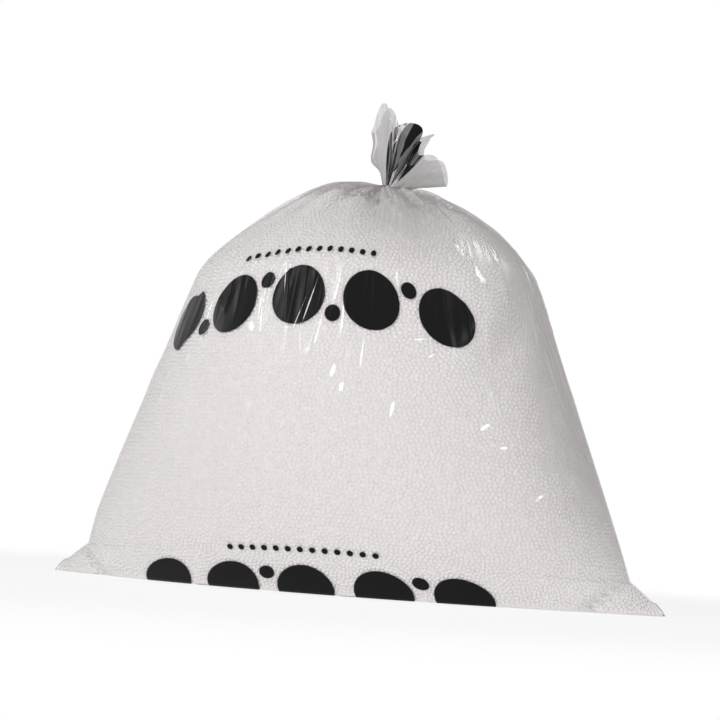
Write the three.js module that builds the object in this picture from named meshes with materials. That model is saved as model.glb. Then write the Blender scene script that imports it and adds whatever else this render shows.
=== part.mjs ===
// A clear film bag of polystyrene beads that stands on the floor with its neck gathered shut.
// Millimetres, +Z up. The origin is on the floor, in the middle of the foot, and the front faces -Y.
// The film is one tube, welded flat along the bottom: the weld's two ends stick out as ears, the sides
// run straight up to the shoulder, a dome closes in to the choked neck, and the free end fans out above it.
import * as THREE from "three";

// The film
const FILM_WIDTH = 630; // lay-flat width of the tube, from ear tip to ear tip along the weld
const FILM_THICKNESS = 0.15;

// The filled body
const FOOT_DEPTH = 210; // the flat foot, front to back
const FOOT_ROLL = 2.2; // power of the curve from the foot out to the belly
const SIDE_FOOT_WIDTH = 586; // where the straight sides would meet the floor
const EAR_HEIGHT = 31; // the ears stand out from the sides below this height
const EAR_ROUNDNESS = 1.4; // power of their outline
const EAR_PINCH = 0.22; // share of the depth that the crease at an ear's root takes away
const EAR_PINCH_WIDTH = 7;
const EAR_PINCH_SLOPE = 1.15; // the crease runs inwards by this much for each millimetre down
const OVAL_HEIGHT = 75; // above this the sections are ovals, and towards the floor they become lenses
const BELLY_HEIGHT = 150;
const BELLY_DEPTH = 336;
const SHOULDER_HEIGHT = 300;
const SHOULDER_WIDTH = 352;
const SHOULDER_DEPTH = 312;
const DOME_RISE = 102; // from the shoulder to the dome's top
const DOME_SIDE = 7; // how far the dome leans to the right
const CREST_LIFT = 5; // a lump of beads lifts the dome beside the neck
const CREST_SIDE = -38; // from the middle of the bag, so it is on the left
const CREST_SPREAD = 24;

// The gathers and the neck
const LOOSE_RISE = 67; // from the shoulder to where the lump begins and the lean ends
const GATHER_RISE = 40; // from the shoulder to where the pleats begin
const PLEATS = 16;
const PLEAT_DEPTH = 5; // of a pleat, where it is deepest at the funnel
const FUNNEL_RISE = 97; // from the shoulder to where the dome turns up into the neck
const FUNNEL_HEIGHT = 9;
const FUNNEL_FLARE = 1.6; // power of its curve
const NECK_RADIUS = 9;
const NECK_PLEAT_DEPTH = 1.5;
const NECK_SIDE = 19; // how far the neck is to the right of the middle

// The free end above the neck, which fans out from the left edge of the flat tube to its right edge.
// Leans are degrees above the horizon on the right.
const LEFT_EDGE_LEAN = 115;
const LEFT_CORNER_LEAN = 97;
const LEFT_CORNER_LENGTH = 86;
const LEFT_CORNER_SPREAD = 10; // degrees
const MIDDLE_LENGTH = 62;
const NOTCH_LEAN = 48; // between the crumpled middle and the right corner
const NOTCH_DEPTH = 15;
const NOTCH_SPREAD = 8; // degrees
const RIGHT_CORNER_LENGTH = 55;
const RIGHT_EDGE_LEAN = 4;
const MOUTH_DEPTH = 34; // between the front and the back layer at the mouth
const FREE_FOLDS = 9; // around the mouth, and only the crumpled middle shows them
const FOLDED_MIDDLE = -0.19; // from -1 at the left edge of the flat tube to 1 at its right edge
const FOLDED_SPREAD = 0.34;
const FOLD_DEPTH = 10;
const FOLD_SWING = 9; // degrees

// The beads
const BEAD_CLEARANCE = 0.3; // between the film and the bead mass
const BEAD_RISE = 88; // from the shoulder to where the bead mass leaves the film
const BEAD_CROWN = 8; // how far its top rises above that
const HOLLOW_DEPTH = 14; // the loose film beside the neck stands clear of the beads
const HOLLOW_SIDE = 50;
const HOLLOW_FRONT = 55;
const HOLLOW_SPREAD = 55;

// The mesh: columns around the tube, and bands of faces up each stretch of it
const COLUMNS = 64;
const BODY_BANDS = 13;
const BODY_CROWDING = 1.6; // power that sets the body's rows closer towards the foot
const PACKED_DOME_BANDS = 6;
const LOOSE_DOME_BANDS = 2;
const FUNNEL_BANDS = 4;
const FREE_END_BANDS = 6;
const CROWN_BANDS = 3;

const { lerp, smoothstep, degToRad } = THREE.MathUtils;
const LOOSE_LEVEL = SHOULDER_HEIGHT + LOOSE_RISE;
const BEAD_LEVEL = SHOULDER_HEIGHT + BEAD_RISE;
const FUNNEL_LEVEL = SHOULDER_HEIGHT + FUNNEL_RISE;

const pleat = (turn) => Math.cos(PLEATS * turn);
const swell = (place, middle, spread) => Math.exp(-(((place - middle) / spread) ** 2));

// Half the distance between the straight sides
function halfWidth(height) {
  return lerp(SIDE_FOOT_WIDTH, SHOULDER_WIDTH, height / SHOULDER_HEIGHT) / 2;
}

// Half the depth of the body: it rolls out from the foot to the belly, then eases in to the shoulder
function halfDepth(height) {
  if (height < BELLY_HEIGHT) {
    return lerp(BELLY_DEPTH, FOOT_DEPTH, (1 - height / BELLY_HEIGHT) ** FOOT_ROLL) / 2;
  }
  const climb = (height - BELLY_HEIGHT) / (SHOULDER_HEIGHT - BELLY_HEIGHT);
  return lerp(BELLY_DEPTH, SHOULDER_DEPTH, climb ** 2) / 2;
}

// The share of the depth that is left beside the crease at an ear's root
function pinched(x, height) {
  const root = halfWidth(EAR_HEIGHT) - EAR_PINCH_SLOPE * (EAR_HEIGHT - height);
  const fade = 1 - smoothstep(height, EAR_HEIGHT, 1.5 * EAR_HEIGHT);
  return 1 - EAR_PINCH * fade * swell(Math.abs(x), root, EAR_PINCH_WIDTH);
}

// A point of the body that the beads fill, at a turn around the tube that starts on the right
function bodyPoint(turn, height) {
  const dome = Math.sqrt(1 - (Math.max(0, height - SHOULDER_HEIGHT) / DOME_RISE) ** 2);
  const earShare = 1 - Math.min(1, height / EAR_HEIGHT) ** EAR_ROUNDNESS;
  const ear = ((FILM_WIDTH - SIDE_FOOT_WIDTH) / 2) * earShare;
  const pointedness = 1 + Math.max(0, 1 - height / OVAL_HEIGHT) ** 2;
  const depth = Math.sign(Math.sin(turn)) * Math.abs(Math.sin(turn)) ** pointedness;
  const lean = DOME_SIDE * smoothstep(height, SHOULDER_HEIGHT, LOOSE_LEVEL);
  const x = lean + (halfWidth(height) * dome + ear) * Math.cos(turn);
  const crest = CREST_LIFT * swell(x, CREST_SIDE, CREST_SPREAD);
  return new THREE.Vector3(
    x,
    halfDepth(height) * dome * depth * pinched(x, height),
    height + smoothstep(height, LOOSE_LEVEL, FUNNEL_LEVEL) * crest,
  );
}

// A point of the film over it, which the pleats lift as they run together towards the neck
function filmPoint(turn, height) {
  const point = bodyPoint(turn, height);
  const gather = smoothstep(height, SHOULDER_HEIGHT + GATHER_RISE, FUNNEL_LEVEL);
  return point.setZ(point.z + (gather * PLEAT_DEPTH * (1 + pleat(turn))) / 2);
}

// The choked neck, as tight as the gathered film goes
function chokePoint(turn) {
  const radius = NECK_RADIUS + NECK_PLEAT_DEPTH * pleat(turn);
  return new THREE.Vector3(
    NECK_SIDE + radius * Math.cos(turn),
    radius * Math.sin(turn),
    FUNNEL_LEVEL + FUNNEL_HEIGHT,
  );
}

// The funnel between the dome, where closing is 0, and the choke, where it is 1
function funnelPoint(turn, closing) {
  const rim = filmPoint(turn, FUNNEL_LEVEL);
  const choke = chokePoint(turn);
  const drawn = 1 - (1 - closing) ** FUNNEL_FLARE;
  return new THREE.Vector3(
    lerp(rim.x, choke.x, drawn),
    lerp(rim.y, choke.y, drawn),
    lerp(rim.z, choke.z, closing),
  );
}

// How far the free end reaches from the choke, at a lean in its fan
function freeLength(lean) {
  const plain = lerp(RIGHT_CORNER_LENGTH, MIDDLE_LENGTH, smoothstep(lean, RIGHT_EDGE_LEAN, LEFT_EDGE_LEAN));
  const leftCorner = LEFT_CORNER_LENGTH - MIDDLE_LENGTH;
  return (
    plain +
    leftCorner * swell(lean, LEFT_CORNER_LEAN, LEFT_CORNER_SPREAD) -
    NOTCH_DEPTH * swell(lean, NOTCH_LEAN, NOTCH_SPREAD)
  );
}

// The free end: reach is 0 at the choke and 1 at the mouth, and its two layers are folded together
function freeEndPoint(turn, reach) {
  const across = Math.cos(turn);
  const fan = lerp(LEFT_EDGE_LEAN, RIGHT_EDGE_LEAN, (1 + across) / 2);
  const length = reach * freeLength(fan);
  const fold = reach * Math.cos(FREE_FOLDS * turn) * swell(across, FOLDED_MIDDLE, FOLDED_SPREAD);
  const lean = degToRad(fan + FOLD_SWING * fold);
  const choke = chokePoint(turn);
  return new THREE.Vector3(
    lerp(choke.x, NECK_SIDE, reach) + length * Math.cos(lean),
    lerp(choke.y, (MOUTH_DEPTH / 2) * Math.sin(turn), reach) + FOLD_DEPTH * fold,
    choke.z + length * Math.sin(lean),
  );
}

// One row of points around the tube
function ring(pointAt) {
  return Array.from({ length: COLUMNS }, (_, j) => pointAt((2 * Math.PI * j) / COLUMNS));
}

// What rowAt gives at equal shares of a stretch, with its start left to the stretch below
function stretch(bands, rowAt) {
  return Array.from({ length: bands }, (_, i) => rowAt((i + 1) / bands));
}

// Heights of rows on the dome, at equal steps of the angle that its arc turns through
function domeHeights(bands, lowRise, highRise) {
  const low = Math.asin(lowRise / DOME_RISE);
  const high = Math.asin(highRise / DOME_RISE);
  return stretch(bands, (share) => SHOULDER_HEIGHT + DOME_RISE * Math.sin(lerp(low, high, share)));
}

// The rows as they lie some way inside the film's outer face, with the foot lifted level off the floor
function insideRows(rows, distance) {
  return rows.map((row, i) =>
    row.map((point, j) => {
      const around = row[column(j + 1)].clone().sub(row[column(j - 1)]);
      const upper = rows[Math.min(i + 1, rows.length - 1)][j];
      const lower = rows[Math.max(i - 1, 0)][j];
      const outward = around.cross(upper.clone().sub(lower)).normalize();
      if (i === 0) {
        outward.setZ(0).normalize().setZ(-1);
      }
      return point.clone().addScaledVector(outward, -distance);
    }),
  );
}

function column(j) {
  return (j + COLUMNS) % COLUMNS;
}

// Two faces between each pair of neighbouring columns, from one row of points to the next
function bandFaces(lowStart, highStart) {
  return Array.from({ length: COLUMNS }, (_, j) => [
    [lowStart + j, lowStart + column(j + 1), highStart + column(j + 1)],
    [lowStart + j, highStart + column(j + 1), highStart + j],
  ]).flat();
}

// The walls between the rows and the flat foot below the first one, facing out
function skinFaces(rowCount) {
  const faces = [];
  for (let i = 0; i + 1 < rowCount; i++) {
    faces.push(...bandFaces(i * COLUMNS, (i + 1) * COLUMNS));
  }
  for (let back = 0; back < COLUMNS / 2; back++) {
    const front = column(-back);
    const nextFront = column(-back - 1);
    if (front !== back) {
      faces.push([back, front, nextFront]);
    }
    if (nextFront !== back + 1) {
      faces.push([back, nextFront, back + 1]);
    }
  }
  return faces;
}

function solid(name, points, faces, material) {
  const geometry = new THREE.BufferGeometry().setFromPoints(points);
  geometry.setIndex(faces.flat());
  geometry.computeVertexNormals();
  const mesh = new THREE.Mesh(geometry, material);
  mesh.name = name;
  return mesh;
}

// The film: an outer and an inner skin, joined around the mouth at the free end
function filmBag(rows) {
  const outer = rows.flat();
  const inner = insideRows(rows, FILM_THICKNESS).flat();
  const outerFaces = skinFaces(rows.length);
  const innerFaces = outerFaces.map(([a, b, c]) => [outer.length + a, outer.length + c, outer.length + b]);
  const rim = bandFaces(outer.length - COLUMNS, outer.length + inner.length - COLUMNS);
  const film = new THREE.MeshStandardMaterial({
    color: 0xdedcdc,
    roughness: 0.18,
    metalness: 0,
    transparent: true,
    opacity: 0.3,
  });
  return solid("film_bag", [...outer, ...inner], [...outerFaces, ...innerFaces, ...rim], film);
}

// How far the top of the bead mass is let down under the loose film beside the neck
function hollow(point) {
  const away = Math.hypot(point.x - HOLLOW_SIDE, point.y + HOLLOW_FRONT);
  return HOLLOW_DEPTH * swell(away, 0, HOLLOW_SPREAD) * smoothstep(point.z, SHOULDER_HEIGHT, LOOSE_LEVEL);
}

// The bead mass: it fills the film up to the bead level and is crowned above it
function beadFill(packedRows) {
  const rows = insideRows(packedRows, FILM_THICKNESS + BEAD_CLEARANCE);
  const top = rows.at(-1);
  const crown = new THREE.Vector3(DOME_SIDE, 0, BEAD_LEVEL + BEAD_CROWN);
  const crownRows = stretch(CROWN_BANDS, (share) =>
    top.map((point) => {
      const lifted = point.clone().lerp(crown, share);
      return lifted.setZ(point.z + BEAD_CROWN * (1 - (1 - share) ** 2));
    }),
  );
  const skin = [...rows, ...crownRows.slice(0, -1)];
  const points = [...skin.flat(), crown].map((point) => point.setZ(point.z - hollow(point)));
  const pole = points.length - 1;
  const lastStart = pole - COLUMNS;
  const cap = Array.from({ length: COLUMNS }, (_, j) => [lastStart + j, lastStart + column(j + 1), pole]);
  const beads = new THREE.MeshStandardMaterial({ color: 0xf0eeee, roughness: 0.75, metalness: 0 });
  return solid("bead_fill", points, [...skinFaces(skin.length), ...cap], beads);
}

const packedHeights = [
  0,
  ...stretch(BODY_BANDS, (share) => SHOULDER_HEIGHT * share ** BODY_CROWDING),
  ...domeHeights(PACKED_DOME_BANDS, 0, BEAD_RISE),
];
const packedRows = packedHeights.map((height) => ring((turn) => bodyPoint(turn, height)));
const filmHeights = [...packedHeights, ...domeHeights(LOOSE_DOME_BANDS, BEAD_RISE, FUNNEL_RISE)];
const filmRows = [
  ...filmHeights.map((height) => ring((turn) => filmPoint(turn, height))),
  ...stretch(FUNNEL_BANDS, (share) => ring((turn) => funnelPoint(turn, share))),
  ...stretch(FREE_END_BANDS, (share) => ring((turn) => freeEndPoint(turn, share))),
];

const bag = new THREE.Group();
bag.add(filmBag(filmRows), beadFill(packedRows));

export default bag;
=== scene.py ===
# %% [markdown]
# # A clear bag of polystyrene beads
# The bag is one tube of thin polyethylene film, welded flat along the bottom and gathered shut at the
# neck. The solids that were built before this script give its size and its main form. This lesson dresses
# them: it makes the film with its folds, the thousands of beads that press against it, a few stray beads
# under the neck, and the light of a plain studio.

# %% Load the frame
import math

import bmesh
import bpy
import numpy as np
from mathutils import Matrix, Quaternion, Vector
from mathutils.bvhtree import BVHTree
from mathutils.kdtree import KDTree


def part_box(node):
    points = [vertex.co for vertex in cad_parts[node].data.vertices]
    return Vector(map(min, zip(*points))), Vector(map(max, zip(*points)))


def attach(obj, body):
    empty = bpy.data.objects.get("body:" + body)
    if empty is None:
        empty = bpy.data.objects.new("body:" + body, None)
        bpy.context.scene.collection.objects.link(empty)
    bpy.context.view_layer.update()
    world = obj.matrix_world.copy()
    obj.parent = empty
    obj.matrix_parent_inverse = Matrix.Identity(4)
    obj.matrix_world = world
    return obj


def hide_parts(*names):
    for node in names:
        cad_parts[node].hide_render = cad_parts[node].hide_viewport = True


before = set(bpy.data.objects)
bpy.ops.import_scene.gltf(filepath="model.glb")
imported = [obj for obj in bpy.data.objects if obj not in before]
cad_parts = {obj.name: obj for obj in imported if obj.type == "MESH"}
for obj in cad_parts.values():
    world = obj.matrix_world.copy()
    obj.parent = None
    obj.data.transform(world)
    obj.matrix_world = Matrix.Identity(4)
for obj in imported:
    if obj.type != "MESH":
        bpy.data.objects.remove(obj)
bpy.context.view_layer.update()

# %% [markdown]
# ## The camera
# The picture was taken from just above the floor with a long lens, a little to the right of the bag's
# front, and the camera was not held level: the floor falls to the right. A camera's roll is a turn about
# its own viewing line, so it is multiplied onto the turn that points the camera at its target.

# %% The camera
VIEW_AZIMUTH = math.radians(16)
VIEW_DISTANCE = 2.2
VIEW_HEIGHT = 0.08
VIEW_ROLL = math.radians(3.8)
AIM_HEIGHT = 0.2323
AIM_LEFT = 0.0035
PICTURE_PIXELS = 720
PIXELS_PER_METRE = 1000  # at the bag's middle

view_right = Vector((math.cos(VIEW_AZIMUTH), math.sin(VIEW_AZIMUTH), 0))
view_back = Vector((math.sin(VIEW_AZIMUTH), -math.cos(VIEW_AZIMUTH), 0))
camera = bpy.data.objects.new("camera", bpy.data.cameras.new("camera"))
bpy.context.scene.collection.objects.link(camera)
camera.location = view_back * VIEW_DISTANCE + Vector((0, 0, VIEW_HEIGHT))
aim = Vector((0, 0, AIM_HEIGHT)) - view_right * AIM_LEFT
camera.rotation_mode = "QUATERNION"
level_turn = (aim - camera.location).to_track_quat("-Z", "Y")
camera.rotation_quaternion = level_turn @ Quaternion((0, 0, 1), VIEW_ROLL)
camera.data.lens = camera.data.sensor_width * PIXELS_PER_METRE * VIEW_DISTANCE / PICTURE_PIXELS
bpy.context.scene.camera = camera
print("camera lens", round(camera.data.lens, 1), "mm")

# %% [markdown]
# ## The form of the film
# The film's form is a formula, the same one that shaped the solids: straight sides that taper up to the
# shoulder, a foot that is a lens with two ears, a dome, a funnel, a choked neck and a fan of free film.
# Written with numpy, one call gives every point of a fine grid, so the folds can be added afterwards.

# %% Sizes of the bag, in metres
WELD_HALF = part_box("film_bag")[1].x
FOOT_HALF_DEPTH = 0.105
FOOT_ROLL = 2.2
SIDE_FOOT_HALF = 0.293
EAR_HEIGHT = 0.031
EAR_ROUNDNESS = 1.4
EAR_PINCH = 0.22
EAR_PINCH_WIDTH = 0.007
EAR_PINCH_SLOPE = 1.15
EAR_PINCH_TOP = 1.5 * EAR_HEIGHT
OVAL_HEIGHT = 0.075
BELLY_HEIGHT = 0.150
BELLY_HALF_DEPTH = 0.168
SHOULDER_HEIGHT = 0.300
SHOULDER_HALF_WIDTH = 0.176
SHOULDER_HALF_DEPTH = 0.156
DOME_RISE = 0.102
DOME_SIDE = 0.007
CREST_LIFT = 0.005
CREST_SIDE = -0.038
CREST_SPREAD = 0.024
LOOSE_LEVEL = SHOULDER_HEIGHT + 0.067
GATHER_LEVEL = SHOULDER_HEIGHT + 0.040
BEAD_LEVEL = SHOULDER_HEIGHT + 0.088
BEAD_CROWN = 0.008
FUNNEL_RISE = 0.097
FUNNEL_LEVEL = SHOULDER_HEIGHT + FUNNEL_RISE
FUNNEL_HEIGHT = 0.009
FUNNEL_FLARE = 1.6
NECK_RADIUS = 0.009
NECK_SIDE = 0.019
NECK_HEIGHT = FUNNEL_LEVEL + FUNNEL_HEIGHT
print("weld", round(2 * WELD_HALF, 3), "m across, neck at", round(NECK_HEIGHT, 3), "m")


# %% Curves that ease, swell and mix
def smooth(value, start, end):
    share = np.clip((value - start) / (end - start), 0, 1)
    return share * share * (3 - 2 * share)


def swell(place, middle, spread):
    return np.exp(-(((place - middle) / spread) ** 2))


def mix(start, end, share):
    return start + (end - start) * share


def join(x, y, z):
    return np.stack(np.broadcast_arrays(x, y, z), axis=-1)


# %% The filled body
def half_width(height):
    return mix(SIDE_FOOT_HALF, SHOULDER_HALF_WIDTH, height / SHOULDER_HEIGHT)


def half_depth(height):
    below = np.clip(1 - height / BELLY_HEIGHT, 0, 1) ** FOOT_ROLL
    above = np.maximum(0, (height - BELLY_HEIGHT) / (SHOULDER_HEIGHT - BELLY_HEIGHT)) ** 2
    rolled = (BELLY_HALF_DEPTH - FOOT_HALF_DEPTH) * below
    return BELLY_HALF_DEPTH - rolled - (BELLY_HALF_DEPTH - SHOULDER_HALF_DEPTH) * above


def body(turn, height):
    dome = np.sqrt(1 - (np.maximum(0, height - SHOULDER_HEIGHT) / DOME_RISE) ** 2)
    ear_share = 1 - np.clip(height / EAR_HEIGHT, 0, 1) ** EAR_ROUNDNESS
    ear = (WELD_HALF - SIDE_FOOT_HALF) * ear_share
    pointedness = 1 + np.maximum(0, 1 - height / OVAL_HEIGHT) ** 2
    lean = DOME_SIDE * smooth(height, SHOULDER_HEIGHT, LOOSE_LEVEL)
    x = lean + (half_width(height) * dome + ear) * np.cos(turn)
    y = half_depth(height) * dome * np.sign(np.sin(turn)) * np.abs(np.sin(turn)) ** pointedness
    root = half_width(EAR_HEIGHT) - EAR_PINCH_SLOPE * (EAR_HEIGHT - height)
    pinch = swell(np.abs(x), root, EAR_PINCH_WIDTH) * smooth(height, EAR_PINCH_TOP, EAR_HEIGHT)
    y = y * (1 - EAR_PINCH * pinch)
    crest = CREST_LIFT * swell(x, CREST_SIDE, CREST_SPREAD)
    return join(x, y, height + smooth(height, LOOSE_LEVEL, FUNNEL_LEVEL) * crest)


print("shoulder", round(2 * half_width(SHOULDER_HEIGHT), 3), "m across")

# %% The funnel, the neck and the free end
LEFT_EDGE_LEAN = 115
LEFT_CORNER_LEAN = 99
LEFT_CORNER_LENGTH = 0.086
LEFT_CORNER_SPREAD = 8
MIDDLE_LENGTH = 0.062
TIP_LEAN = 70
TIP_HEIGHT = 0.005
TIP_SPREAD = 5
NOTCH_LEAN = 48
NOTCH_DEPTH = 0.015
NOTCH_SPREAD = 8
RIGHT_CORNER_LENGTH = 0.055
RIGHT_EDGE_LEAN = 4
MOUTH_HALF_DEPTH = 0.017
BULGE_LEAN = 12  # how far the left-hand edge swells out close to the neck, in degrees
BULGE_PLACE = 0.033
BULGE_SPREAD = 0.011
BULGE_START = 95  # the lean from which the edge takes part in it
FOLD_DEPTH = 0.012
FOLD_SWING = 11
FOLD_ROLL = 1.1  # sets a fold's depth behind its swing, so that the folds roll over each other
FREE_FOLDS = 9
JAG_DEPTH = 0.005
JAGS = 14
JAG_PHASE = 1
FOLDED_MIDDLE = -0.19
FOLDED_SPREAD = 0.34


def choke(turn):
    return join(NECK_SIDE + NECK_RADIUS * np.cos(turn), NECK_RADIUS * np.sin(turn), NECK_HEIGHT)


def funnel(turn, closing):
    rim = body(turn, np.array([[FUNNEL_LEVEL]]))
    drawn = 1 - (1 - closing) ** FUNNEL_FLARE
    return mix(rim, choke(turn), join(drawn, drawn, closing))


def free_length(lean):
    plain = mix(RIGHT_CORNER_LENGTH, MIDDLE_LENGTH, smooth(lean, RIGHT_EDGE_LEAN, LEFT_EDGE_LEAN))
    corner = (LEFT_CORNER_LENGTH - MIDDLE_LENGTH) * swell(lean, LEFT_CORNER_LEAN, LEFT_CORNER_SPREAD)
    tip = TIP_HEIGHT * swell(lean, TIP_LEAN, TIP_SPREAD)
    return plain + corner + tip - NOTCH_DEPTH * swell(lean, NOTCH_LEAN, NOTCH_SPREAD)


def free_end(turn, reach):
    across = np.cos(turn)
    fan = mix(LEFT_EDGE_LEAN, RIGHT_EDGE_LEAN, (1 + across) / 2)
    folded = swell(across, FOLDED_MIDDLE, FOLDED_SPREAD)
    swing = FOLD_SWING * reach * folded * np.cos(FREE_FOLDS * turn)
    depth = FOLD_DEPTH * reach * folded * np.cos(FREE_FOLDS * turn + FOLD_ROLL)
    length = reach * (free_length(fan) + JAG_DEPTH * folded * np.cos(JAGS * turn + JAG_PHASE))
    bulge = BULGE_LEAN * swell(length, BULGE_PLACE, BULGE_SPREAD) * smooth(fan, BULGE_START, LEFT_EDGE_LEAN)
    lean = np.radians(fan + swing + bulge)
    start = choke(turn)
    return join(
        mix(start[..., 0], NECK_SIDE, reach) + length * np.cos(lean),
        mix(start[..., 1], MOUTH_HALF_DEPTH * np.sin(turn), reach) + depth,
        start[..., 2] + length * np.sin(lean),
    )


print("longest corner of the free end:", round(float(free_length(LEFT_CORNER_LEAN)), 3), "m")

# %% [markdown]
# ## A fine grid of the film
# The grid's columns run up the tube and its rows run around it. Column 0 is the left edge of the flat
# tube, so the first half of the columns is the front panel and the second half is the back panel. The same
# grid also gives film coordinates: how far across the flat panel a point lies, and how far it is from the
# weld. The print is laid out in them, so it bends and gathers with the film as ink does.

# %% Rows and columns
FRONT_COLUMNS = 360
BACK_COLUMNS = 200
COLUMNS = FRONT_COLUMNS + BACK_COLUMNS
FRONT_MIDDLE = FRONT_COLUMNS // 2
BASE_ROWS = 4
BODY_ROWS = 72
BODY_CROWDING = 1.15
DOME_ROWS = 56
FUNNEL_ROWS = 14
FREE_ROWS = 30

front_turns = math.pi + math.pi * np.arange(FRONT_COLUMNS) / FRONT_COLUMNS
back_turns = 2 * math.pi + math.pi * np.arange(BACK_COLUMNS) / BACK_COLUMNS
turns = np.concatenate([front_turns, back_turns])[None, :]


def shares(count):
    return np.arange(count)[:, None] / count


foot = body(turns, np.array([[0.0]]))
base = foot * join(1, shares(BASE_ROWS), 1)
body_rows = body(turns, SHOULDER_HEIGHT * shares(BODY_ROWS) ** BODY_CROWDING)
dome_end = math.asin(FUNNEL_RISE / DOME_RISE)
dome_rows = body(turns, SHOULDER_HEIGHT + DOME_RISE * np.sin(dome_end * shares(DOME_ROWS)))
funnel_rows = funnel(turns, shares(FUNNEL_ROWS))
free_rows = free_end(turns, np.linspace(0, 1, FREE_ROWS + 1)[:, None])
plain = np.concatenate([base, body_rows, dome_rows, funnel_rows, free_rows])
FOOT_ROW = BASE_ROWS
SHOULDER_ROW = FOOT_ROW + BODY_ROWS
CHOKE_ROW = SHOULDER_ROW + DOME_ROWS + FUNNEL_ROWS
print("film grid", plain.shape)


# %% Film coordinates
def steps_between(points, axis):
    return np.linalg.norm(np.diff(points, axis=axis), axis=-1)


def panel_across(points):
    """How far across the flat tube each column lies, from -half to half of its width on each panel."""
    closed = np.concatenate([points, points[:, :1]], axis=1)
    along = np.concatenate([np.zeros((len(points), 1)), np.cumsum(steps_between(closed, 1), axis=1)], axis=1)
    half = FRONT_COLUMNS
    front = along[:, : half + 1] / along[:, half : half + 1]
    back = (along[:, half:] - along[:, half : half + 1]) / (along[:, -1:] - along[:, half : half + 1])
    return (front * 2 - 1) * WELD_HALF, (back * 2 - 1) * WELD_HALF


ring_rows = plain[: SHOULDER_ROW + DOME_ROWS].copy()
ring_rows[:FOOT_ROW] = plain[FOOT_ROW]
front_across, back_across = panel_across(ring_rows)
top_rows = len(plain) - len(ring_rows)
front_across = np.concatenate([front_across, np.repeat(front_across[-1:], top_rows, axis=0)])
back_across = np.concatenate([back_across, np.repeat(back_across[-1:], top_rows, axis=0)])
climb = np.concatenate([np.zeros((1, COLUMNS)), np.cumsum(steps_between(plain, 0), axis=0)])
from_weld = FOOT_HALF_DEPTH + climb - climb[FOOT_ROW]
below_choke = climb[CHOKE_ROW] - climb
girth_place = np.concatenate([front_across[:, :-1], back_across[:, :-1] + 2 * WELD_HALF], axis=1)
print("film length, weld to mouth, at the front:", round(float(from_weld[-1, FRONT_MIDDLE]), 3))

# %% [markdown]
# ## The folds
# Film does not stretch, so where the bag narrows the spare girth has to go into folds. Close to the neck
# they are many and fine, and further down they merge into fewer, longer ones. Below the gathers a few
# sharp creases run on down the front. Waves whose count drops with the distance from the neck make the
# gathers, and single ridges with a seeded random place make the creases.

# %% Gathers at the neck
GIRTH = 4 * WELD_HALF
PLEATS = 16
PLEAT_DEPTH = 0.005
# Finer waves: how many go around the tube, how far down from the neck they reach, and their height.
GATHERS = [(9, 0.17, 0.0026), (27, 0.090, 0.0036), (44, 0.065, 0.0030), (70, 0.045, 0.0020)]
LEAST_GATHER_SHAPE = 0.28  # of a wave's own length
GATHER_MIDDLE = 0.35  # a wave's mean height, so that its valleys sink in as its crests stand out
SINK_DEPTH = 0.005  # into the empty space under the neck, since the beads stop the film lower down
SINK_RISE = (BEAD_LEVEL - 0.012, BEAD_LEVEL + 0.006)
PLEAT_RADIUS = 0.04  # at this distance from the neck's middle the pleats are whole
GATHER_FADE = (0.24, 0.34)
NECK_FADE = (-0.02, 0)  # below the choke
WAVE_WANDER = 0.9
WANDER_TURNS = 3
WAVE_SHARPNESS = 0.8
random = np.random.default_rng(7)
film_height = plain[..., 2]
circle = 2 * math.pi * girth_place / GIRTH
neck_radius = np.hypot(plain[..., 0] - NECK_SIDE, plain[..., 1])
below_neck = smooth(below_choke, *NECK_FADE)


def gathers():
    total = np.zeros_like(below_choke)
    for count, reach, height in GATHERS:
        phase, drift = random.uniform(0, 2 * math.pi, 2)
        wander = WAVE_WANDER * np.sin(WANDER_TURNS * circle + drift + below_choke / reach)
        wave = 1 - np.abs(np.sin((count * circle + phase + wander) / 2)) ** WAVE_SHARPNESS
        most = LEAST_GATHER_SHAPE * 2 * math.pi * neck_radius / count
        total += np.minimum(height, most) * swell(below_choke, 0, reach) * (wave - GATHER_MIDDLE)
    sink = SINK_DEPTH * smooth(film_height, *SINK_RISE)
    pleats = PLEAT_DEPTH * smooth(film_height, GATHER_LEVEL, FUNNEL_LEVEL) * (1 + np.cos(PLEATS * turns)) / 2
    return (np.maximum(total, -sink) + pleats * smooth(neck_radius, NECK_RADIUS, PLEAT_RADIUS)) * below_neck


print("gathers:", PLEATS, "pleats and", len(GATHERS), "finer waves")


# %% Creases
CREASE_BEND = 0.006
CREASE_SHARPNESS = 1.3


def wrapped(distance):
    return (distance + GIRTH / 2) % GIRTH - GIRTH / 2


def crease(place, middle, length, tilt, bend, width, height):
    along = (below_choke - middle) / length
    shape = np.clip(1 - along**2, 0, 1) ** 2
    line = place + tilt * (below_choke - middle) + bend * along**2
    return height * shape * np.exp(-((np.abs(wrapped(girth_place - line)) / width) ** CREASE_SHARPNESS))


def creases(count, places, middles, lengths, tilt, widths, heights):
    total = np.zeros_like(below_choke)
    for _ in range(count):
        total += crease(
            random.uniform(*places),
            random.uniform(*middles),
            random.uniform(*lengths),
            random.normal(0, tilt),
            random.normal(0, CREASE_BEND),
            random.uniform(*widths),
            random.uniform(*heights),
        )
    return total


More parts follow.
